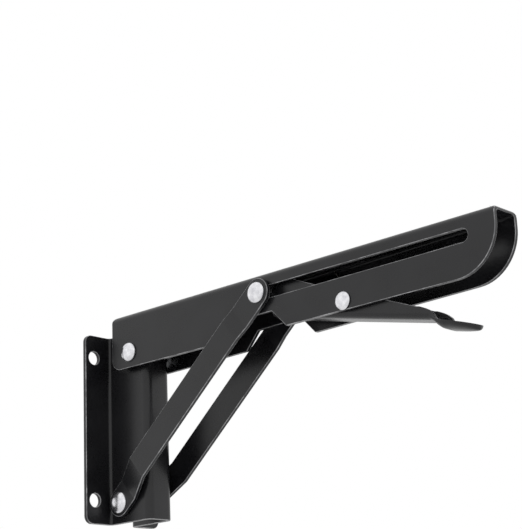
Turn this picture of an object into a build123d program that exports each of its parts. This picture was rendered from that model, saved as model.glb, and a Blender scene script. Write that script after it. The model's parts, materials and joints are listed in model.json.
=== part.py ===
from build123d import *
import math
import os

# Folding shelf bracket: a hat-section wall bracket, a U-section arm that narrows towards its tip,
# a two-legged strut and a sprung release lever inside the arm. Millimetres, +Z up.
# The wall is the plane x = 0, +X points away from it, and the origin is the centre of the four
# wall screws. Near is the -Y side and far is the +Y side.

# Wall bracket
plate_height = 100.0
plate_width = 50.0
wall_sheet = 2.2
wall_bend_radius = 1.8
plate_corner_radius = 4.0
channel_width = 16.8
channel_depth = 31.6
screw_hole_diameter = 7.2
screw_edge_side = 5.8
screw_edge_end = 12.2

# Arm
arm_sheet = 2.0
arm_bend_radius = 1.6
arm_wall_gap = 11.0
arm_reach = 254.6
arm_height = 29.5
arm_rise = 8.8
arm_width_wall = 28.2
arm_width_tip = 17.6
arm_corner_top = 3.0
arm_corner_low = 6.0
arm_tip_radius = 22.0
arm_tip_top_radius = 2.0
shelf_hole_diameter = 5.5
shelf_hole_wall = 48.0
shelf_hole_middle = 98.0
shelf_hole_tip_edge = 9.6

# Pivots, by their distance from the wall and below the arm's top
arm_pivot_x = 24.0
arm_pivot_drop = 21.4
foot_pivot_x = 11.5
foot_pivot_rise = 10.5
slot_pin_x = 118.0
slot_drop = 10.3
lever_pivot_x = 169.0
lever_pivot_drop = 25.0

# Rivets and the small parts on them
arm_rivet_diameter = 6.0
arm_rivet_head = 10.4
foot_rivet_diameter = 6.0
foot_rivet_head = 11.2
slot_rivet_diameter = 4.0
slot_rivet_head = 10.6
lever_rivet_diameter = 4.0
lever_rivet_head = 8.8
rivet_head_height = 2.1
lever_rivet_head_height = 1.5
rivet_head_rim = 0.5
arm_spacer_diameter = 12.0
foot_washer_diameter = 12.0
foot_washer_thickness = 0.5
slot_bush_diameter = 6.0
slot_bush_flange_diameter = 9.0
slot_bush_flange = 0.6
lever_washer_diameter = 8.0

# Clearances
running_gap = 0.05
side_gap = 0.1
slot_gap = 0.15
lever_pin_gap = 0.3

# Notch in the arm's lower edge, where the strut's foot lies when the bracket is folded
notch_depth = 9.1
notch_before = 14.8
notch_after = 32.6
notch_slope = 8.7
notch_corner_radius = 1.2

# Strut legs
leg_sheet = 2.0
leg_width = 14.5
leg_foot_length = 9.0
leg_foot_step = 15.0
leg_bulge = 1.1
leg_top_length = 16.0
leg_top_step = 8.0
leg_bend_radius = 2.5

# Release lever
lever_sheet = 1.5
lever_bend_radius = 1.5
lever_width = 15.0
lever_slope = 12.8
lever_floor_drop = 7.5
lever_lock_gap = 0.3
lever_lock_depth = 8.2
lever_nose_back = 1.9
lever_hump_drop = 4.8
lever_hump_start = 4.4
lever_hump_end = 13.0
lever_hump_fall = 0.6
lever_ramp_end = 27.0
lever_ramp_drop = 11.5
lever_channel_end = 50.0
lever_shoulder = 6.0
lever_shoulder_wall = 5.2
lever_shoulder_radius = 7.0
lever_nose_radius = 3.0
paddle_step = 5.0
paddle_step_drop = 3.4
paddle_straight = 7.0
paddle_tilt = 1.5
paddle_width = 16.0
paddle_rim = 0.5
paddle_bend_radius = 9.0
paddle_bend_angle = 42.0

# Torsion spring on the lever's rivet
spring_wire = 1.1
spring_wire_sides = 8
spring_coil_radius = 3.6
spring_turns = 4
spring_pitch = 1.35
spring_leg_floor = 17.0
spring_floor_lean = 4.5
spring_web_lean = 25.0
spring_web_gap = 0.3

# Places worked out from the dimensions above
arm_top = plate_height / 2 + arm_rise
arm_low = arm_top - arm_height
arm_pivot_z = arm_top - arm_pivot_drop
foot_pivot_z = foot_pivot_rise - plate_height / 2
slot_z = arm_top - slot_drop
lever_pivot_z = arm_top - lever_pivot_drop
screw_y = plate_width / 2 - screw_edge_side
screw_z = plate_height / 2 - screw_edge_end

strut_length = math.hypot(slot_pin_x - foot_pivot_x, slot_z - foot_pivot_z)
strut_angle = math.degrees(math.atan2(slot_z - foot_pivot_z, slot_pin_x - foot_pivot_x))
slot_above_pivot = slot_z - arm_pivot_z
folded_pin_x = arm_pivot_x + slot_above_pivot
folded_pin_z = foot_pivot_z - math.sqrt(strut_length ** 2 - (folded_pin_x - foot_pivot_x) ** 2)
slot_pin_end = arm_pivot_x + arm_pivot_z - folded_pin_z
slot_radius = slot_bush_diameter / 2 + slot_gap
folded_foot = arm_pivot_x + arm_pivot_z - foot_pivot_z


def arm_half(x):
    """Half of the arm's outer width at a distance from the wall."""
    share = (x - arm_wall_gap) / (arm_reach - arm_wall_gap)
    return (arm_width_wall + (arm_width_tip - arm_width_wall) * share) / 2


foot_inner = channel_width / 2 + foot_washer_thickness + 2 * side_gap
arm_outer_at_pin = arm_half(slot_pin_x - slot_bush_flange_diameter / 2)
lever_head = arm_half(lever_pivot_x - lever_rivet_head / 2) + side_gap
leg_top_inner = max(arm_outer_at_pin + slot_bush_flange, lever_head + lever_rivet_head_height) + 2 * side_gap
leg_mid_inner = leg_top_inner + leg_bulge


def side_outline(points, corners):
    """A face in the XZ plane through (x, z) points, with the named corners rounded."""
    face = Plane.XZ * make_face(Polyline(*points, close=True))
    for (x, z), radius in corners:
        spot = Vector(x, 0, z)
        vertex = min(face.vertices(), key=lambda v: (Vector(*v.center()) - spot).length)
        face = fillet(vertex, radius)
    return face


def across(face, low, high):
    """The solid of an XZ face carried along Y from low to high."""
    return Pos(0, low, 0) * extrude(face, high - low, dir=(0, 1, 0))


def rod(x, z, diameter, low, high):
    """A round bar along Y."""
    return Pos(x, (low + high) / 2, z) * Rot(90, 0, 0) * Cylinder(diameter / 2, high - low)


def tube(x, z, outer, inner, low, high):
    """A ring along Y: a washer, spacer or bush."""
    return rod(x, z, outer, low, high) - rod(x, z, inner, low - 1, high + 1)


def mirrored(solid):
    return mirror(solid, about=Plane.XZ)


def head_profile(radius, height, start, way):
    """The arc and rim of a domed head whose flat side is at start, rising towards way."""
    rim = start + way * rivet_head_rim
    top = start + way * height
    bulge = height - rivet_head_rim
    curve = (radius ** 2 + bulge ** 2) / (2 * bulge)
    lean = math.asin(radius / curve) / 2
    middle = (curve * math.sin(lean), top - way * curve * (1 - math.cos(lean)))
    return rim, top, middle


def through_rivet(x, z, shank, head, height, low, high):
    """A rivet along Y with a domed head at each end. low and high are the heads' flat sides."""
    r = head / 2
    rim_a, top_a, middle_a = head_profile(r, height, low, -1)
    rim_b, top_b, middle_b = head_profile(r, height, high, 1)
    edge = [
        ThreePointArc((0, top_a), middle_a, (r, rim_a)),
        Polyline((r, rim_a), (r, low), (shank / 2, low), (shank / 2, high), (r, high), (r, rim_b)),
        ThreePointArc((r, rim_b), middle_b, (0, top_b)),
        Line((0, top_b), (0, top_a)),
    ]
    return Pos(x, 0, z) * revolve(make_face(edge), Axis.Y)


def headed_pin(x, z, shank, head, tip, start):
    """A rivet along Y with one domed head on its -Y side. start is the head's flat side."""
    r = head / 2
    rim, top, middle = head_profile(r, rivet_head_height, start, -1)
    edge = [
        ThreePointArc((0, top), middle, (r, rim)),
        Polyline((r, rim), (r, start), (shank / 2, start), (shank / 2, tip), (0, tip), (0, top)),
    ]
    return Pos(x, 0, z) * revolve(make_face(edge), Axis.Y)


def make_wall_bracket():
    """One folded sheet: two screw flanges and a channel that stands out between them."""
    t = wall_sheet
    c = channel_width / 2
    w = plate_width / 2
    d = channel_depth
    bend = wall_bend_radius
    ring = [(0, -w), (t, -w), (t, -c), (d, -c), (d, c), (t, c), (t, w), (0, w)]
    ring += [(0, c - t), (d - t, c - t), (d - t, t - c), (0, t - c)]
    section = make_face(Polyline(*ring, close=True))
    for spots, radius in [
        ([(t, -c), (t, c), (d - t, c - t), (d - t, t - c)], bend),
        ([(0, c - t), (0, t - c), (d, -c), (d, c)], bend + t),
    ]:
        picked = [min(section.vertices(), key=lambda v: math.hypot(v.X - x, v.Y - y)) for x, y in spots]
        section = fillet(picked, radius)
    body = extrude(section, plate_height / 2, both=True)
    outline = Plane.YZ * RectangleRounded(plate_width, plate_height, plate_corner_radius)
    body = body & extrude(outline, d)
    for y in (-screw_y, screw_y):
        for z in (-screw_z, screw_z):
            body -= Pos(t / 2, y, z) * Rot(0, 90, 0) * Cylinder(screw_hole_diameter / 2, 2 * t)
    body -= rod(arm_pivot_x, arm_pivot_z, arm_rivet_diameter + 2 * running_gap, -c - 1, c + 1)
    body -= rod(foot_pivot_x, foot_pivot_z, foot_rivet_diameter + 2 * running_gap, -c - 1, c + 1)
    return body


def arm_prism(inset, over, low, high, bend):
    """The arm's plan shape, set in from the sides and carried up, with its two long top edges bent round."""
    start = arm_wall_gap - over
    end = arm_reach + over
    near = arm_half(start) - inset
    far = arm_half(end) - inset
    plan = make_face(Polyline((start, -near), (end, -far), (end, far), (start, near), close=True))
    body = extrude(Plane((0, 0, low)) * plan, high - low)
    long_edges = [e for e in body.edges() if e.bounding_box().size.X > arm_height and e.center().Z > high - bend]
    return fillet(long_edges, bend)


def make_arm():
    """One folded sheet that narrows towards the tip, with its slots, notch and holes."""
    t = arm_sheet
    body = arm_prism(0, 0, arm_low, arm_top, arm_bend_radius + t)
    body -= arm_prism(t, t, arm_low - t, arm_top - t, arm_bend_radius)
    wide = arm_width_wall / 2 + 1
    corners = [
        ((arm_wall_gap, arm_top), arm_corner_top),
        ((arm_wall_gap, arm_low), arm_corner_low),
        ((arm_reach, arm_low), arm_tip_radius),
        ((arm_reach, arm_top), arm_tip_top_radius),
    ]
    outline = side_outline([spot for spot, _ in corners], corners)
    body = body & across(outline, -wide, wide)
    start = folded_foot - notch_before
    end = folded_foot + notch_after
    roof = arm_low + notch_depth
    lead = notch_slope / notch_depth
    top_corners = [(start + notch_slope, roof), (end - notch_slope, roof)]
    notch = side_outline([(start - lead, arm_low - 1), *top_corners, (end + lead, arm_low - 1)],
                         [(spot, notch_corner_radius) for spot in top_corners])
    body -= across(notch, -wide, wide)
    slot = Pos((slot_pin_x + slot_pin_end) / 2, slot_z) * SlotCenterToCenter(
        slot_pin_end - slot_pin_x, 2 * slot_radius)
    body -= across(Plane.XZ * slot, -wide, wide)
    body -= rod(arm_pivot_x, arm_pivot_z, arm_rivet_diameter + 2 * running_gap, -wide, wide)
    body -= rod(lever_pivot_x, lever_pivot_z, lever_rivet_diameter + 2 * running_gap, -wide, wide)
    for x in (shelf_hole_wall, shelf_hole_middle, arm_reach - shelf_hole_tip_edge):
        body -= Pos(x, 0, arm_top) * Cylinder(shelf_hole_diameter / 2, 4 * t)
    return body


def make_leg():
    """The near strut leg: a flat bar with a round end at each pivot, set out past the foot."""
    r = leg_width / 2
    t = leg_sheet
    foot = -foot_inner
    mid = -leg_mid_inner
    top = -leg_top_inner
    top_start = strut_length - leg_top_length
    run = [
        (-r, foot), (leg_foot_length, foot), (leg_foot_length + leg_foot_step, mid),
        (top_start - leg_top_step, mid), (top_start, top), (strut_length + r, top),
    ]
    back = [(s, y - t) for s, y in reversed(run)]
    strip = make_face(Polyline(*run, *back, close=True))
    bends = [v for v in strip.vertices() if 0 < v.X < strut_length]
    strip = fillet(bends, leg_bend_radius)
    bar = extrude(strip, r, both=True)
    outline = Pos(strut_length / 2, 0) * SlotCenterToCenter(strut_length, leg_width)
    bar = bar & across(Plane.XZ * outline, top - leg_bulge - 2 * t, foot + t)
    bar -= rod(0, 0, foot_rivet_diameter + 2 * running_gap, mid - 2 * t, 0)
    bar -= rod(strut_length, 0, slot_rivet_diameter + 2 * running_gap, mid - 2 * t, 0)
    return Pos(foot_pivot_x, 0, foot_pivot_z) * Rot(0, -strut_angle, 0) * bar


def lever_place(along, up):
    """The (x, z) point at a distance along the lever's floor from its pivot and above its underside."""
    slope = math.radians(lever_slope)
    rise = up - lever_floor_drop
    x = lever_pivot_x + along * math.cos(slope) + rise * math.sin(slope)
    z = lever_pivot_z - along * math.sin(slope) + rise * math.cos(slope)
    return (x, z)


def u_section(along, low, tilt, half, wall, bend, angle):
    """A U or dish section of the lever, square to its floor at a distance along it."""
    t = lever_sheet
    a = math.radians(angle)
    outer = bend + t
    reach = outer * math.sin(a) + wall * math.cos(a)
    flat = half - reach
    lean = Vector(math.sin(a), -math.cos(a))
    shoulder = Vector(flat + outer * math.sin(a), outer * (1 - math.cos(a)))
    rim = shoulder + Vector(math.cos(a), math.sin(a)) * wall
    inner_rim = rim - lean * t
    inner_shoulder = shoulder - lean * t
    half_a = a / 2
    outer_mid = (flat + outer * math.sin(half_a), outer * (1 - math.cos(half_a)))
    inner_mid = (flat + bend * math.sin(half_a), outer - bend * math.cos(half_a))

    def flip(p):
        return (-p[0], p[1])

    so = (shoulder.X, shoulder.Y)
    ro = (rim.X, rim.Y)
    si = (inner_shoulder.X, inner_shoulder.Y)
    ri = (inner_rim.X, inner_rim.Y)
    edge = [
        Line((-flat, 0), (flat, 0)),
        ThreePointArc((flat, 0), outer_mid, so),
        Line(so, ro),
        Line(ro, ri),
        Line(ri, si),
        ThreePointArc(si, inner_mid, (flat, t)),
        Line((flat, t), (-flat, t)),
        ThreePointArc((-flat, t), flip(inner_mid), flip(si)),
        Line(flip(si), flip(ri)),
        Line(flip(ri), flip(ro)),
        Line(flip(ro), flip(so)),
        ThreePointArc(flip(so), flip(outer_mid), (-flat, 0)),
    ]
    x, z = lever_place(along, low)
    way = math.radians(lever_slope + tilt)
    plane = Plane(origin=(x, 0, z), x_dir=(0, 1, 0), z_dir=(math.cos(way), 0, -math.sin(way)))
    return plane * make_face(edge)


def make_lever():
    """The release lever: a deep U whose hump locks behind the slot pins, and a dished paddle."""
    half = lever_width / 2
    t = lever_sheet
    outer = lever_bend_radius + t
    lock_x = slot_pin_x + slot_bush_diameter / 2 + lever_lock_gap
    floor_start = (lock_x + lever_nose_back - lever_pivot_x) / math.cos(math.radians(lever_slope))
    end = lever_channel_end
    hump_z = arm_top - lever_hump_drop
    rounded = [
        ((lock_x, arm_top - lever_lock_depth), lever_nose_radius),
        ((lock_x + lever_hump_start, hump_z), lever_nose_radius),
        ((lock_x + lever_hump_end, hump_z - lever_hump_fall), lever_nose_radius),
        ((lock_x + lever_ramp_end, arm_top - lever_ramp_drop), lever_nose_radius),
        (lever_place(end - lever_shoulder, lever_shoulder_wall), lever_shoulder_radius),
    ]
    side = side_outline([lever_place(floor_start, 0), *[spot for spot, _ in rounded],
                         lever_place(end, outer + paddle_rim), lever_place(end, 0)], rounded)
    body = across(side, -half, half)
    floor_z = lever_place(0, 0)[1]
    body = fillet([e for e in body.edges().filter_by(GeomType.LINE) if e.length > lever_width
                   and abs(e.center().Y) > half - t and e.center().Z < floor_z + outer], outer)
    past = lever_width
    hollow = side_outline([lever_place(floor_start - past, t), lever_place(floor_start - past, arm_height),
                           lever_place(end + past, arm_height), lever_place(end + past, t)], [])
    cavity = across(hollow, t - half, half - t)
    cavity = fillet([e for e in cavity.edges() if e.length > end and e.center().Z < floor_z + outer],
                    lever_bend_radius)
    body -= cavity
    body -= rod(lever_pivot_x, lever_pivot_z, lever_rivet_diameter + 2 * running_gap, -half - t, half + t)

    root = u_section(end, 0, 0, half, paddle_rim, lever_bend_radius, 90)
    paddle_start = end + paddle_step
    dish = u_section(paddle_start, -paddle_step_drop, paddle_tilt, paddle_width / 2, paddle_rim,
                     paddle_bend_radius, paddle_bend_angle)
    neck = loft([root, dish], ruled=True)
    way = math.radians(lever_slope + paddle_tilt)
    along = Vector(math.cos(way), 0, -math.sin(way))
    blade = extrude(dish, paddle_straight, dir=along)
    last = Pos(along * paddle_straight) * dish
    x, z = lever_place(paddle_start, -paddle_step_drop)
    middle = Vector(x, 0, z) + along * paddle_straight
    keep = Pos(0, paddle_width, 0) * Box(4 * arm_reach, 2 * paddle_width, 4 * arm_reach)
    bowl = revolve(last & keep, Axis(middle, (math.sin(way), 0, math.cos(way))), 180)
    return body + neck + blade + bowl


def make_spring():
    """A torsion spring: a close coil on the lever's rivet, one leg up to the arm's web, one on the floor."""
    wire = spring_wire / 2
    web_way = 90 + spring_web_lean
    floor_way = -lever_slope - spring_floor_lean
    start_angle = web_way + 90
    turns = spring_turns + (floor_way - web_way + 180) / 360
    height = turns * spring_pitch
    coil = Helix(spring_pitch, height, spring_coil_radius)
    climb = math.sin(math.radians(web_way))
    web_room = arm_top - arm_sheet - spring_web_gap - wire - lever_pivot_z
    leg_up = (web_room - spring_coil_radius * math.sin(math.radians(start_angle))) / climb
    section = RegularPolygon(wire, spring_wire_sides)
    body = sweep(Plane(origin=coil @ 0, z_dir=coil % 0) * section, path=coil, is_frenet=True)
    body += extrude(Plane(origin=coil @ 0, z_dir=(coil % 0) * -1) * section, leg_up)
    body += extrude(Plane(origin=coil @ 1, z_dir=coil % 1) * section, spring_leg_floor)
    centred = Rot(90, 0, 0) * Pos(0, 0, -height / 2) * body
    return Pos(lever_pivot_x, 0, lever_pivot_z) * Rot(0, -start_angle, 0) * centred


def save(shape, name):
    export_step(shape, f"parts/{name}.step")


def both_sides(near, name):
    save(near, f"{name}_near")
    save(mirrored(near), f"{name}_far")


os.makedirs("parts", exist_ok=True)

save(make_wall_bracket(), "wall_bracket")
save(make_arm(), "arm")
both_sides(make_leg(), "strut_leg")
save(make_lever(), "release_lever")

arm_head = arm_half(arm_pivot_x - arm_rivet_head / 2) + side_gap
save(through_rivet(arm_pivot_x, arm_pivot_z, arm_rivet_diameter, arm_rivet_head, rivet_head_height,
                   -arm_head, arm_head), "arm_pivot_rivet")
spacer_end = arm_half(arm_pivot_x + arm_spacer_diameter / 2) - arm_sheet - side_gap
both_sides(tube(arm_pivot_x, arm_pivot_z, arm_spacer_diameter, arm_rivet_diameter + 2 * running_gap,
                -spacer_end, -channel_width / 2 - side_gap), "arm_pivot_spacer")

foot_head = foot_inner + leg_sheet + side_gap
save(through_rivet(foot_pivot_x, foot_pivot_z, foot_rivet_diameter, foot_rivet_head, rivet_head_height,
                   -foot_head, foot_head), "strut_foot_rivet")
both_sides(tube(foot_pivot_x, foot_pivot_z, foot_washer_diameter, foot_rivet_diameter + 2 * running_gap,
                -channel_width / 2 - side_gap - foot_washer_thickness, -channel_width / 2 - side_gap),
           "strut_foot_washer")

slot_head = leg_top_inner + leg_sheet + side_gap
both_sides(headed_pin(slot_pin_x, slot_z, slot_rivet_diameter, slot_rivet_head, -leg_top_inner, -slot_head),
           "slot_rivet")
bush_outer = arm_outer_at_pin + side_gap + slot_bush_flange
bush_end = lever_width / 2 + lever_pin_gap
both_sides(rod(slot_pin_x, slot_z, slot_bush_diameter, -bush_outer, -bush_end)
           + rod(slot_pin_x, slot_z, slot_bush_flange_diameter, -bush_outer, -bush_outer + slot_bush_flange),
           "slot_bush")

save(through_rivet(lever_pivot_x, lever_pivot_z, lever_rivet_diameter, lever_rivet_head,
                   lever_rivet_head_height, -lever_head, lever_head), "lever_rivet")
washer_end = arm_half(lever_pivot_x + lever_washer_diameter / 2) - arm_sheet - side_gap
both_sides(tube(lever_pivot_x, lever_pivot_z, lever_washer_diameter, lever_rivet_diameter + 2 * running_gap,
                -washer_end, -lever_width / 2 - side_gap), "lever_washer")

save(make_spring(), "lever_spring")

folded_angle = math.degrees(math.atan2(foot_pivot_z - folded_pin_z, folded_pin_x - foot_pivot_x))
print("pivot heights:", arm_pivot_z, foot_pivot_z, slot_z, lever_pivot_z)
print("strut turn per arm turn:", round((strut_angle + folded_angle) / 90, 5))
print("slot travel:", round(slot_pin_end - slot_pin_x, 3))
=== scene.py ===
import json
import math
import bmesh
import bpy
import numpy as np
from mathutils import Matrix, Vector

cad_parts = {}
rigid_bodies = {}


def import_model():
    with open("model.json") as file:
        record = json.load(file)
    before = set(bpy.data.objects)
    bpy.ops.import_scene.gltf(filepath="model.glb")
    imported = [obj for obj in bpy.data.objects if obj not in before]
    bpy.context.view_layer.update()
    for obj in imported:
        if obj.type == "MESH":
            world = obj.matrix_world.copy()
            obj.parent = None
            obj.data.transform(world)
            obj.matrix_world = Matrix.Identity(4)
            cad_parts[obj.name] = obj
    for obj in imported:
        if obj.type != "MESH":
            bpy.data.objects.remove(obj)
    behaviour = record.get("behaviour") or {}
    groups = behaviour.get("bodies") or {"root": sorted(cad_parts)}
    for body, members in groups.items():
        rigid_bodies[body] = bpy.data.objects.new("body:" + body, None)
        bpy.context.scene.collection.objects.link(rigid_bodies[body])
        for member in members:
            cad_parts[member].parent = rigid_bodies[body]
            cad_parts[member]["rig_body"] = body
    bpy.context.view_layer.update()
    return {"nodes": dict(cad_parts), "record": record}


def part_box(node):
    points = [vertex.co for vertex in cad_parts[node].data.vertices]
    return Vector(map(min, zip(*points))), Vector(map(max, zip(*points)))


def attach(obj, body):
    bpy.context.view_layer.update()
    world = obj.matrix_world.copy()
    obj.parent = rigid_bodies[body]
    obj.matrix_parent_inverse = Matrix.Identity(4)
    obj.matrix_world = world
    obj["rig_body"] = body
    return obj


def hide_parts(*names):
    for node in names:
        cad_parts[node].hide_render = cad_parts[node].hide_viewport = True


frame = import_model()
nodes = frame["nodes"]
bodyOf = {name: node["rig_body"] for name, node in nodes.items()}
slotOf = {part["node"]: part["material_slot"] for part in frame["record"]["subparts"]}


class Wire:
    # one node socket; sums and products of wires and numbers add Math nodes
    def __init__(self, tree, out=None):
        self.tree = tree
        self.out = out

    def make(self, kind, settings=None, inputs=None, output=0):
        # adds any node: its settings first, then the values or wires of its sockets
        node = self.tree.nodes.new(kind)
        for key, value in (settings or {}).items():
            if key == "stops":
                ramp = node.color_ramp
                while len(ramp.elements) < len(value):
                    ramp.elements.new(1.0)
                for stop, (place, colour) in zip(ramp.elements, value):
                    stop.position = place
                    stop.color = (*colour, 1.0)
            else:
                setattr(node, key, value)
        for key, value in (inputs or {}).items():
            if isinstance(value, Wire):
                self.tree.links.new(value.out, node.inputs[key])
            else:
                node.inputs[key].default_value = value
        return Wire(self.tree, node.outputs[output] if node.outputs else None)

    def maths(self, operation, first, second):
        return self.make("ShaderNodeMath", {"operation": operation}, {0: first, 1: second})

    def __add__(self, other):
        return self.maths("ADD", self, other)

    def __radd__(self, other):
        return self.maths("ADD", other, self)

    def __sub__(self, other):
        return self.maths("SUBTRACT", self, other)

    def __rsub__(self, other):
        return self.maths("SUBTRACT", other, self)

    def __mul__(self, other):
        return self.maths("MULTIPLY", self, other)

    def __rmul__(self, other):
        return self.maths("MULTIPLY", other, self)


def newMaterial(name):
    material = bpy.data.materials.new(name)
    material.use_nodes = True
    tree = material.node_tree
    tree.nodes.clear()
    return material, Wire(tree)


def closeMaterial(start, sockets):
    shader = start.make("ShaderNodeBsdfPrincipled", None, sockets)
    start.make("ShaderNodeOutputMaterial", None, {"Surface": shader})


def objectPlace(start, offset=(0.0, 0.0, 0.0)):
    # object coordinates, shifted so that two pieces don't show the same patches
    where = start.make("ShaderNodeTexCoord", output=3)    # output 3 is Object
    return start.make("ShaderNodeMapping", None, {"Vector": where, "Location": offset})


def noiseAt(start, place, scale, detail=2.0, rough=0.5):
    return start.make("ShaderNodeTexNoise", None,
                      {"Vector": place, "Scale": scale, "Detail": detail, "Roughness": rough})


def toneBetween(start, pattern, span, low, high):
    # one colour below the span of the pattern's values, the other above it
    return start.make("ShaderNodeValToRGB", {"stops": [(span[0], low), (span[1], high)]},
                      {"Fac": pattern})


def bumpFrom(start, pattern, strength, depth):
    return start.make("ShaderNodeBump", None,
                      {"Strength": strength, "Distance": depth, "Height": pattern})


coat = {
    "deep": (0.0055, 0.0055, 0.0065),    # the darker of the two blacks
    "worn": (0.0095, 0.0095, 0.0108),    # the greyer one, in soft patches
    "toneSpan": (0.35, 0.7),
    "patchScale": 45.0,                  # patches of about 2 cm
    "grainScale": 1500.0,                # the coat's own fine grain
    "grainStrength": 0.35, "grainDepth": 0.00002,
    "roughness": 0.29, "grainGloss": 0.10, "patchGloss": 0.08,
    "specular": 0.43,
}


def powderCoat(name, offset):
    # satin black powder coat: two blacks in soft patches, a fine grain in the bump and the gloss
    material, start = newMaterial(name)
    place = objectPlace(start, offset)
    patch = noiseAt(start, place, coat["patchScale"], 3.0)
    grain = noiseAt(start, place, coat["grainScale"], 3.0, 0.6)
    gloss = coat["roughness"] + coat["grainGloss"] * (grain - 0.5) + coat["patchGloss"] * (patch - 0.5)
    closeMaterial(start, {
        "Base Color": toneBetween(start, patch, coat["toneSpan"], coat["deep"], coat["worn"]),
        "Roughness": gloss, "Specular IOR Level": coat["specular"],
        "Normal": bumpFrom(start, grain, coat["grainStrength"], coat["grainDepth"]),
    })
    return material


edge = {
    "width": 0.00028, "segments": 2,     # how far the cut edges are rounded over
    # painted highlight for the cut edges: both colours are far lighter than the coat and stand in for the
    # light that the rounded edges catch
    "coat": (0.140, 0.140, 0.145),
    "highlightPeak": (0.50, 0.50, 0.51),          # the brightest painted highlight on the edges
    "toneSpan": (0.42, 0.72),
    "highlightPatchScale": 160.0,
    "roughness": 0.30, "highlightPatchGloss": 0.1,
}


def paintedEdgeHighlight(name, offset):
    # painted highlight on the rounded cut edges: a colour much lighter than the coat, varied in soft
    # patches, stands in for the light that the edges catch
    material, start = newMaterial(name)
    highlightPatch = noiseAt(start, objectPlace(start, offset), edge["highlightPatchScale"], 4.0, 0.65)
    closeMaterial(start, {
        "Base Color": toneBetween(start, highlightPatch, edge["toneSpan"], edge["coat"], edge["highlightPeak"]),
        "Roughness": edge["roughness"] + edge["highlightPatchGloss"] * (highlightPatch - 0.5),
    })
    return material


nickel = {
    "bright": (0.86, 0.86, 0.88),
    "dull": (0.62, 0.62, 0.65),
    "toneSpan": (0.3, 0.62),
    "tarnishScale": 380.0, "markScale": 1900.0,
    "markStrength": 0.2, "markDepth": 0.00002,
    "roughness": 0.16, "dullGloss": 0.14,
}


def brightNickel(name):
    # pressed rivet heads: bright plate with faint dull spots and shallow press marks
    material, start = newMaterial(name)
    place = objectPlace(start)
    spots = noiseAt(start, place, nickel["tarnishScale"], 4.0, 0.6)
    marks = noiseAt(start, place, nickel["markScale"], 2.0)
    closeMaterial(start, {
        "Base Color": toneBetween(start, spots, nickel["toneSpan"], nickel["dull"], nickel["bright"]),
        "Metallic": 1.0, "Roughness": nickel["roughness"] + nickel["dullGloss"] * (1 - spots),
        "Normal": bumpFrom(start, marks, nickel["markStrength"], nickel["markDepth"]),
    })
    return material


zinc = {
    "light": (0.60, 0.61, 0.63),
    "dark": (0.42, 0.43, 0.45),
    "toneSpan": (0.1, 0.8),
    "spangleScale": 600.0,
    "roughness": 0.36, "spangleGloss": 0.1,
}


def zincPlate(name):
    # washers, spacers and slot bushes: dull zinc with a fine crystal pattern
    material, start = newMaterial(name)
    spangle = start.make("ShaderNodeTexVoronoi", None,
                         {"Vector": objectPlace(start), "Scale": zinc["spangleScale"]})
    closeMaterial(start, {
        "Base Color": toneBetween(start, spangle, zinc["toneSpan"], zinc["dark"], zinc["light"]),
        "Metallic": 1.0, "Roughness": zinc["roughness"] + zinc["spangleGloss"] * spangle,
    })
    return material


wireSteel = {
    "steel": (0.34, 0.33, 0.32),
    "oil": (0.16, 0.14, 0.12),
    "toneSpan": (0.35, 0.65),
    "filmScale": 300.0,
    "roughness": 0.27, "filmGloss": 0.2,
}


def oiledWire(name):
    # the lever's spring: drawn wire with an uneven film of oil
    material, start = newMaterial(name)
    film = noiseAt(start, objectPlace(start), wireSteel["filmScale"], 3.0, 0.6)
    closeMaterial(start, {
        "Base Color": toneBetween(start, film, wireSteel["toneSpan"], wireSteel["oil"], wireSteel["steel"]),
        "Metallic": 1.0, "Roughness": wireSteel["roughness"] + wireSteel["filmGloss"] * film,
    })
    return material


looks = {
    "wall_paint": powderCoat("wallCoat", (0.0, 0.0, 0.0)),
    "arm_paint": powderCoat("armCoat", (0.31, 0.12, 0.07)),
    "strut_paint": powderCoat("strutCoat", (0.11, 0.43, 0.23)),
    "lever_paint": powderCoat("leverCoat", (0.23, 0.05, 0.41)),
    "rivet_nickel": brightNickel("rivetNickel"),
    "washer_zinc": zincPlate("washerZinc"),
    "spring_steel": oiledWire("springWireSteel"),
}
# painted highlight materials for the cut edges, one for each coat
edgeLooks = {
    "wall_paint": paintedEdgeHighlight("wallEdge", (0.1, 0.0, 0.0)),
    "arm_paint": paintedEdgeHighlight("armEdge", (0.2, 0.1, 0.0)),
    "strut_paint": paintedEdgeHighlight("strutEdge", (0.0, 0.2, 0.1)),
    "lever_paint": paintedEdgeHighlight("leverEdge", (0.1, 0.2, 0.3)),
}
for name, node in nodes.items():
    node.data.materials.clear()
    node.data.materials.append(looks[slotOf[name]])
print("materials:", len(looks) + len(edgeLooks))


sheetPieces = {
    # the pressed sheets, and the solid that each one stands for
    "wallPlate": "wall_bracket",
    "armSheet": "arm",
    "strutLegNear": "strut_leg_near",
    "strutLegFar": "strut_leg_far",
    "leverSheet": "release_lever",
}
sheetShape = {
    "merge": 0.000004,      # corners of the loose triangles nearer than this are one
    "flat": 0.4,            # degrees within which triangles lie in one face
    "corner": 32.0,         # degrees from which a corner is a cut edge
}


def finishPiece(piece, node):
    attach(piece, bodyOf[node])
    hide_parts(node)


def smoothFrom(mesh, corner):
    # smooth shading with sharp edges at corners from so many degrees
    mesh.polygons.foreach_set("use_smooth", np.ones(len(mesh.polygons), bool))
    mesh.set_sharp_from_angle(angle=math.radians(corner))


def roundEdges(piece, corner, clamp):
    # rounds the cut edges over and gives them the piece's second material, the painted edge highlight
    bevel = piece.modifiers.new("cutEdges", "BEVEL")
    bevel.width = edge["width"]
    bevel.segments = edge["segments"]
    bevel.limit_method = "ANGLE"
    bevel.angle_limit = math.radians(corner)
    bevel.use_clamp_overlap = clamp
    bevel.harden_normals = True
    bevel.material = 1


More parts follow.
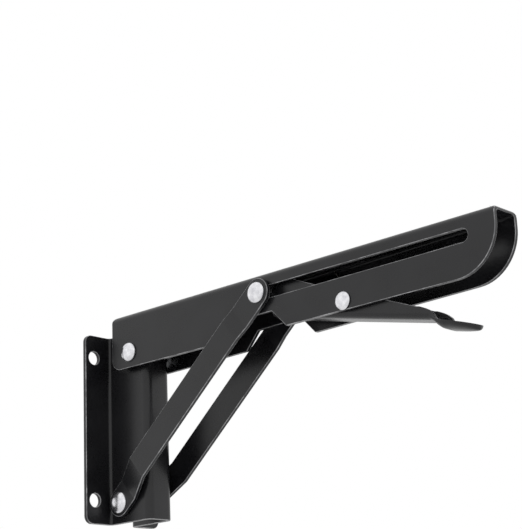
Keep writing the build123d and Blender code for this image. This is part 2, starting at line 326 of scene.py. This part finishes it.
def roundedSheet(name, node, shape):
    # a merged copy of the pressed sheet, its flat triangles joined and its cut edges rounded over
    mesh = nodes[node].data.copy()
    mesh.name = name
    piece = bpy.data.objects.new(name, mesh)
    bpy.context.scene.collection.objects.link(piece)
    work = bmesh.new()
    work.from_mesh(mesh)
    bmesh.ops.remove_doubles(work, verts=work.verts, dist=shape["merge"])
    bmesh.ops.dissolve_limit(work, angle_limit=math.radians(shape["flat"]), verts=work.verts,
                             edges=work.edges)
    work.to_mesh(mesh)
    work.free()
    smoothFrom(mesh, shape["corner"])
    mesh.materials.clear()
    mesh.materials.append(looks[slotOf[node]])
    # the second material is the painted edge highlight
    mesh.materials.append(edgeLooks[slotOf[node]])
    roundEdges(piece, shape["corner"], False)
    finishPiece(piece, node)
    return piece


sheets = {name: roundedSheet(name, node, sheetShape) for name, node in sheetPieces.items()}
print("sheets:", len(sheets))


gridShape = {"merge": 0.0000005, "corner": 40.0}


def gridMesh(name, points):
    # quads between the rows and columns of a grid of points, whose last column joins the first
    rows, columns = points.shape[:2]
    row, column = np.meshgrid(np.arange(rows - 1), np.arange(columns), indexing="ij")
    right = (column + 1) % columns
    quads = np.stack([row * columns + column, row * columns + right,
                      (row + 1) * columns + right, (row + 1) * columns + column], axis=-1)
    mesh = bpy.data.meshes.new(name)
    mesh.from_pydata(points.reshape(-1, 3).tolist(), [], quads.reshape(-1, 4).tolist())
    work = bmesh.new()
    work.from_mesh(mesh)
    bmesh.ops.remove_doubles(work, verts=work.verts, dist=gridShape["merge"])
    bmesh.ops.recalc_face_normals(work, faces=work.faces)
    work.to_mesh(mesh)
    work.free()
    smoothFrom(mesh, gridShape["corner"])
    return mesh


def addPiece(name, mesh, node):
    mesh.materials.append(looks[slotOf[node]])
    piece = bpy.data.objects.new(name, mesh)
    bpy.context.scene.collection.objects.link(piece)
    finishPiece(piece, node)
    return piece


rivets = {
    # shank radius, which ends carry a head (-1 near side, +1 far side), and a head's height
    "armPivotRivet": {"node": "arm_pivot_rivet", "shank": 0.0030, "heads": (-1, 1), "height": 0.0021},
    "footRivet": {"node": "strut_foot_rivet", "shank": 0.0030, "heads": (-1, 1), "height": 0.0021},
    "slotRivetNear": {"node": "slot_rivet_near", "shank": 0.0020, "heads": (-1,), "height": 0.0021},
    "slotRivetFar": {"node": "slot_rivet_far", "shank": 0.0020, "heads": (1,), "height": 0.0021},
    "leverRivet": {"node": "lever_rivet", "shank": 0.0020, "heads": (-1, 1), "height": 0.0015},
}
rivetShape = {"square": 2.5, "steps": 20, "around": 72}


def headProfile(end, radius, height, way):
    # radius and y along a head from its pole to its flat side: a rounded square-shouldered dome,
    # r = R sin(a)^(2/n), y = end - way * H (1 - cos(a)^(2/n))
    a = np.linspace(0.0, math.pi / 2, rivetShape["steps"])
    power = 2.0 / rivetShape["square"]
    r = radius * np.sin(a) ** power
    y = end - way * height * (1.0 - np.cos(a).clip(0.0) ** power)
    return np.stack([r, y], axis=1)


def latheMesh(name, profile, x, z):
    # a profile of radius and y turned about the line through (x, z) along Y
    turn = np.linspace(0.0, 2 * math.pi, rivetShape["around"], endpoint=False)
    r = profile[:, 0][:, None]
    y = np.repeat(profile[:, 1][:, None], len(turn), axis=1)
    return gridMesh(name, np.stack([x + r * np.cos(turn), y, z + r * np.sin(turn)], axis=-1))


def rivetEnd(plan, end, way, radius):
    # from the pole on the rivet's end to its shank, with a head on the way where there is one
    if way not in plan["heads"]:
        return np.array([[0.0, end], [plan["shank"], end]])
    neck = np.array([[plan["shank"], end - way * plan["height"]]])
    return np.concatenate([headProfile(end, radius, plan["height"], way), neck])


for name, plan in rivets.items():
    low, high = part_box(plan["node"])
    x, z, radius = (low.x + high.x) / 2, (low.z + high.z) / 2, (high.x - low.x) / 2
    near = rivetEnd(plan, low.y, -1, radius)
    far = rivetEnd(plan, high.y, 1, radius)[::-1]
    addPiece(name, latheMesh(name, np.concatenate([near, far]), x, z), plan["node"])
print("rivets:", len(rivets))


spring = {
    "node": "lever_spring",
    "wire": 0.00055, "coil": 0.0036, "pitch": 0.00135,
    "pivot": (0.169, 0.0, 0.0338),
    "webWay": 115.0, "floorWay": -17.3, "turns": 4,    # the ways in degrees up from +X
    "webLeg": 0.0261, "floorLeg": 0.017,
    "around": 14, "perTurn": 40,
}


def springMesh(name, s):
    # a round section carried along a helix about Y with a straight leg at each end:
    # angle a runs from the web leg's way + 90 degrees, x = R cos a, z = R sin a, y falls by one pitch a turn
    turns = s["turns"] + (s["floorWay"] - s["webWay"] + 180.0) / 360.0
    start = math.radians(s["webWay"] + 90.0)
    angle = np.linspace(0.0, 2 * math.pi * turns, int(s["perTurn"] * turns))
    coil = np.stack([s["coil"] * np.cos(start + angle),
                     turns * s["pitch"] / 2 - s["pitch"] * angle / (2 * math.pi),
                     s["coil"] * np.sin(start + angle)], axis=1)
    first = coil[0] - coil[1]
    last = coil[-1] - coil[-2]
    first *= s["webLeg"] / np.linalg.norm(first)
    last *= s["floorLeg"] / np.linalg.norm(last)
    path = np.concatenate([[coil[0] + first], [coil[0] + 0.5 * first], coil,
                           [coil[-1] + 0.5 * last], [coil[-1] + last]]) + np.array(s["pivot"])
    along = np.gradient(path, axis=0)
    along /= np.linalg.norm(along, axis=1)[:, None]
    side = np.cross(along, (0.0, 1.0, 0.0))
    side /= np.linalg.norm(side, axis=1)[:, None]
    other = np.cross(along, side)
    turn = np.linspace(0.0, 2 * math.pi, s["around"], endpoint=False)[None, :, None]
    ring = np.cos(turn) * side[:, None, :] + np.sin(turn) * other[:, None, :]
    points = path[:, None, :] + s["wire"] * ring
    caps = [np.repeat(path[end][None, None, :], s["around"], axis=1) for end in (0, -1)]
    return gridMesh(name, np.concatenate([caps[0], points, caps[1]]))


addPiece("leverSpring", springMesh("leverSpring", spring), spring["node"])
print("spring: done")


paddle = {
    # the lever's thumb end, in millimetres along the lever's floor and square to it;
    # each table is (along, value), and endReach is where the rounded tip ends
    "node": "release_lever",
    "pivot": (169.0, 0.0, 33.8), "slope": 12.8, "drop": 7.5,
    "sheet": 1.5, "cut": 41.0, "overlap": 1.0,
    "rim": [(42.7, 5.65), (45.6, 5.0), (47.8, 4.3), (50.0, 3.2), (51.2, 2.5), (51.9, 1.0),
            (53.2, 0.35), (55.0, 0.0), (60.0, -0.4), (66.0, -0.75), (71.6, -1.1)],
    "bottom": [(48.5, 0.0), (50.3, -0.9), (52.2, -2.3), (54.2, -3.4), (56.5, -3.8), (60.0, -3.8),
               (71.6, -4.0)],
    "half": [(50.0, 7.5), (56.0, 8.0)],
    "bendHigh": [(50.0, 3.0), (57.0, 3.4)],
    "bendWide": [(50.0, 3.0), (57.0, 6.6)],
    "bendShare": 0.98,                   # the most of the half width or depth that a bend takes
    "endStart": 59.5, "endReach": 71.6,
    "endBlunt": 0.2,                     # how late the depth closes towards the tip
    "endCrowd": 2.2,                     # how closely the rows stand at the tip
    "blur": 0.6, "blurSteps": 9,         # the tables are averaged this far to each side
    "bodyRows": 60, "endRows": 28, "wallSteps": 4, "bendSteps": 8, "floorSteps": 8,
    "corner": 50.0, "onCut": 0.000002, "bisect": 0.0000001,
}


def smoothTable(table, along, p):
    # straight lines between the table's points, averaged over a short stretch
    spots, values = zip(*table)
    near = np.linspace(-p["blur"], p["blur"], p["blurSteps"])
    return np.mean([np.interp(along + step, spots, values) for step in near], axis=0)


def troughSection(half, low, top, high, wide, p):
    # a round-cornered U from one rim to the other, for every row at once: down the wall y = -half,
    # round a quarter ellipse of the two bends, across the floor u = low, and up the same way
    half, low, top, high, wide = (value[:, None] for value in (half, low, top, high, wide))
    step = np.linspace(0.0, 1.0, p["wallSteps"], endpoint=False)[None, :]
    wallU = top + (low + high - top) * step
    wallY = -half + 0 * wallU
    turn = np.linspace(0.0, math.pi / 2, p["bendSteps"], endpoint=False)[None, :]
    bendY = -half + wide - wide * np.cos(turn)
    bendU = low + high - high * np.sin(turn)
    floor = np.linspace(0.0, 1.0, p["floorSteps"])[None, :]
    floorY = (-half + wide) * (1.0 - floor)
    floorU = low + 0 * floorY
    y = np.concatenate([wallY, bendY, floorY], axis=1)
    u = np.concatenate([wallU, bendU, floorU], axis=1)
    return np.concatenate([y, -y[:, -2::-1]], axis=1), np.concatenate([u, u[:, -2::-1]], axis=1)


def paddleShell(p, firstRim, inset):
    # the outer surface at inset 0, the inner one at an inset of the sheet's thickness: towards the
    # tip the half width closes as an ellipse, W cos(f), and the depth later, as D cos(f)^endBlunt
    first = p["cut"] - p["overlap"]
    body = np.linspace(first, p["endStart"], p["bodyRows"])
    part = np.linspace(0.0, 1.0, p["endRows"] + 1)[1:]
    close = math.pi / 2 * (1.0 - (1.0 - part) ** p["endCrowd"])
    reach = p["endReach"] - inset - p["endStart"]
    along = np.concatenate([body, p["endStart"] + reach * np.sin(close)])
    shrink = np.concatenate([np.ones(len(body)), np.cos(close).clip(0.0)])
    rim = smoothTable([(first, firstRim), (p["cut"], firstRim)] + p["rim"], along, p)
    low = smoothTable(p["bottom"], along, p) + inset
    half = (smoothTable(p["half"], along, p) - inset) * shrink
    low = rim - (rim - low) * shrink ** p["endBlunt"]
    high = np.minimum(smoothTable(p["bendHigh"], along, p) - inset, p["bendShare"] * (rim - low))
    wide = np.minimum(smoothTable(p["bendWide"], along, p) - inset, p["bendShare"] * half)
    y, u = troughSection(half, low, rim, high, wide, p)
    s = math.radians(p["slope"])
    a = along[:, None]
    x = p["pivot"][0] + a * math.cos(s) + (u - p["drop"]) * math.sin(s)
    z = p["pivot"][2] - a * math.sin(s) + (u - p["drop"]) * math.cos(s)
    return np.stack([x, y, z], axis=-1) / 1000.0


def appliedMesh(piece):
    # the piece's mesh with its modifiers worked in
    graph = bpy.context.evaluated_depsgraph_get()
    return bpy.data.meshes.new_from_object(piece.evaluated_get(graph))


def leverCut(p):
    # a point on the plane of the cut, the way along the lever's floor, and the way square to it
    s = math.radians(p["slope"])
    along = Vector((math.cos(s), 0.0, -math.sin(s)))
    return (Vector(p["pivot"]) + p["cut"] * along) / 1000.0, along, Vector((math.sin(s), 0.0, math.cos(s)))


def cutAcross(mesh, p, keepOuter):
    # cuts a lever mesh square to its floor, keeps one side and closes it with a flat face
    spot, along, _ = leverCut(p)
    work = bmesh.new()
    work.from_mesh(mesh)
    bmesh.ops.bisect_plane(work, geom=[*work.verts, *work.edges, *work.faces], dist=p["bisect"],
                           plane_co=spot, plane_no=along, clear_outer=not keepOuter,
                           clear_inner=keepOuter)
    bmesh.ops.remove_doubles(work, verts=work.verts, dist=gridShape["merge"])
    bmesh.ops.triangle_fill(work, edges=[e for e in work.edges if e.is_boundary], use_beauty=True)
    work.to_mesh(mesh)
    work.free()


def rimAtCut(mesh, p):
    # how high the lever's walls stand above its floor at the cut
    spot, along, square = leverCut(p)
    points = np.array([vertex.co - spot for vertex in mesh.vertices])
    onCut = np.abs(points @ np.array(along)) < p["onCut"]
    return 1000.0 * (points[onCut] @ np.array(square)).max() + p["drop"]


def makePaddle(p, lever):
    # the lever's copy ends at the cut, and the paddle goes on from there with the same section
    sheet = appliedMesh(lever)
    cutAcross(sheet, p, False)
    lever.modifiers.clear()
    lever.data = sheet
    firstRim = rimAtCut(sheet, p)
    outer = paddleShell(p, firstRim, 0.0)
    inner = paddleShell(p, firstRim, p["sheet"])
    points = np.concatenate([outer, inner[:, ::-1]], axis=1)
    endFace = np.concatenate([inner[0], inner[0][::-1]])[None]    # folds the first row shut
    mesh = gridMesh("leverPaddle", np.concatenate([endFace, points]))
    piece = addPiece("leverPaddle", mesh, p["node"])
    # the painted edge highlight for the paddle's rounded edges
    mesh.materials.append(edgeLooks[slotOf[p["node"]]])
    roundEdges(piece, p["corner"], True)
    whole = appliedMesh(piece)
    cutAcross(whole, p, True)
    piece.modifiers.clear()
    piece.data = whole
    print("paddle: walls", round(firstRim, 2), "mm high at the cut")


makePaddle(paddle, sheets["leverSheet"])


camera = {
    "place": (0.59381, -0.52366, -0.15093),
    "yaw": 42.83, "lookUp": 17.05, "roll": -2.47,
    "focalPixels": 1490.0, "picture": (522, 529),
    "sensor": 36, "near": 0.02, "far": 20,
}


def makeCamera(c):
    data = bpy.data.cameras.new("camera")
    body = bpy.data.objects.new("camera", data)
    bpy.context.scene.collection.objects.link(body)
    yaw, up, roll = (math.radians(c[key]) for key in ("yaw", "lookUp", "roll"))
    forward = Vector((-math.sin(yaw) * math.cos(up), math.cos(yaw) * math.cos(up), math.sin(up)))
    right = Vector((math.cos(yaw), math.sin(yaw), 0))
    top = right.cross(forward)
    side = math.cos(roll) * right + math.sin(roll) * top
    high = -math.sin(roll) * right + math.cos(roll) * top
    turn = Matrix((side, high, -forward)).transposed()
    body.matrix_world = Matrix.Translation(Vector(c["place"])) @ turn.to_4x4()
    data.sensor_width = c["sensor"]
    data.lens = c["focalPixels"] * c["sensor"] / max(c["picture"])
    data.clip_start = c["near"]
    data.clip_end = c["far"]
    bpy.context.scene.camera = body


makeCamera(camera)
print("camera: done")


studio = {
    "sky": 1.0,                          # a white tent all round, which is also the background
    "floorHeight": -0.22,                # below the arm's tip when it is folded down
    "floorHalf": 3.0, "floorColour": (0.82, 0.82, 0.82), "floorRoughness": 0.7,
}


def makeStudio(s):
    world = bpy.data.worlds.new("studio")
    world.use_nodes = True
    bpy.context.scene.world = world
    background = world.node_tree.nodes["Background"].inputs
    background["Color"].default_value = (1.0, 1.0, 1.0, 1.0)
    background["Strength"].default_value = s["sky"]
    half, height = s["floorHalf"], s["floorHeight"]
    mesh = bpy.data.meshes.new("floor")
    mesh.from_pydata([(-half, -half, height), (half, -half, height), (half, half, height),
                      (-half, half, height)], [], [(0, 1, 2, 3)])
    floor = bpy.data.objects.new("floor", mesh)
    bpy.context.scene.collection.objects.link(floor)
    look, start = newMaterial("paleFloor")
    closeMaterial(start, {"Base Color": (*s["floorColour"], 1.0), "Roughness": s["floorRoughness"]})
    mesh.materials.append(look)


makeStudio(studio)
print("studio: done")

bpy.context.scene.view_settings.view_transform = "Standard"
